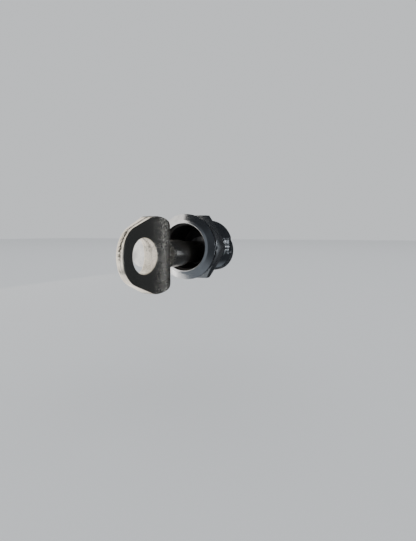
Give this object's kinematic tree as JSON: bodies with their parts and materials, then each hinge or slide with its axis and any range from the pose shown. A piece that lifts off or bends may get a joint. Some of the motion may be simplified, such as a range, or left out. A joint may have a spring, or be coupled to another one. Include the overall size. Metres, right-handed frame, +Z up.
{
  "type": "quarter-turn latch with key",
  "caption": "Quarter-turn door latch with a chromed flange ring, threaded body, swinging cam and a pull-off die-cast key with a round holed bow.",
  "frame": {"origin": "on the axis of the flange ring, in the plane of its rear face, which is the door panel's outer face", "axes": "+X right seen from the front, +Y into the cabinet along the threaded body, +Z up"},
  "size_m": [0.0594, 0.075, 0.0285],
  "materials": {
    "chrome": "polished chrome plate",
    "satin_nickel": "satin nickel plate on a bead-blasted casting",
    "zinc_steel": "bright zinc plate",
    "spindle_zinc": "dark die-cast zinc",
    "spring_steel": "oiled spring steel",
    "rubber": "black moulded rubber"
  },
  "bodies": {
    "latch_body": {"housing": "chrome", "gasket": "rubber", "lock_washer": "zinc_steel", "mounting_nut": "zinc_steel"},
    "spindle_body": {"spindle": "spindle_zinc", "spindle_seal": "rubber", "wave_washer": "spring_steel", "stop_disc": "zinc_steel", "cam": "zinc_steel", "cam_washer": "zinc_steel", "spring_washer": "spring_steel", "cam_screw": "zinc_steel"},
    "key_body": {"key": "satin_nickel"}
  },
  "joints": [
    {"name": "quarter_turn", "type": "hinge", "parent": "latch_body", "child": "spindle_body", "pos_m": [0, 0.018, -0.00215], "axis": [0, 1, 0], "range_deg": [0, 90]},
    {"name": "key_pull", "type": "slide", "parent": "spindle_body", "child": "key_body", "axis": [0, -1, 0], "range_m": [0, 0.03]}
  ]
}
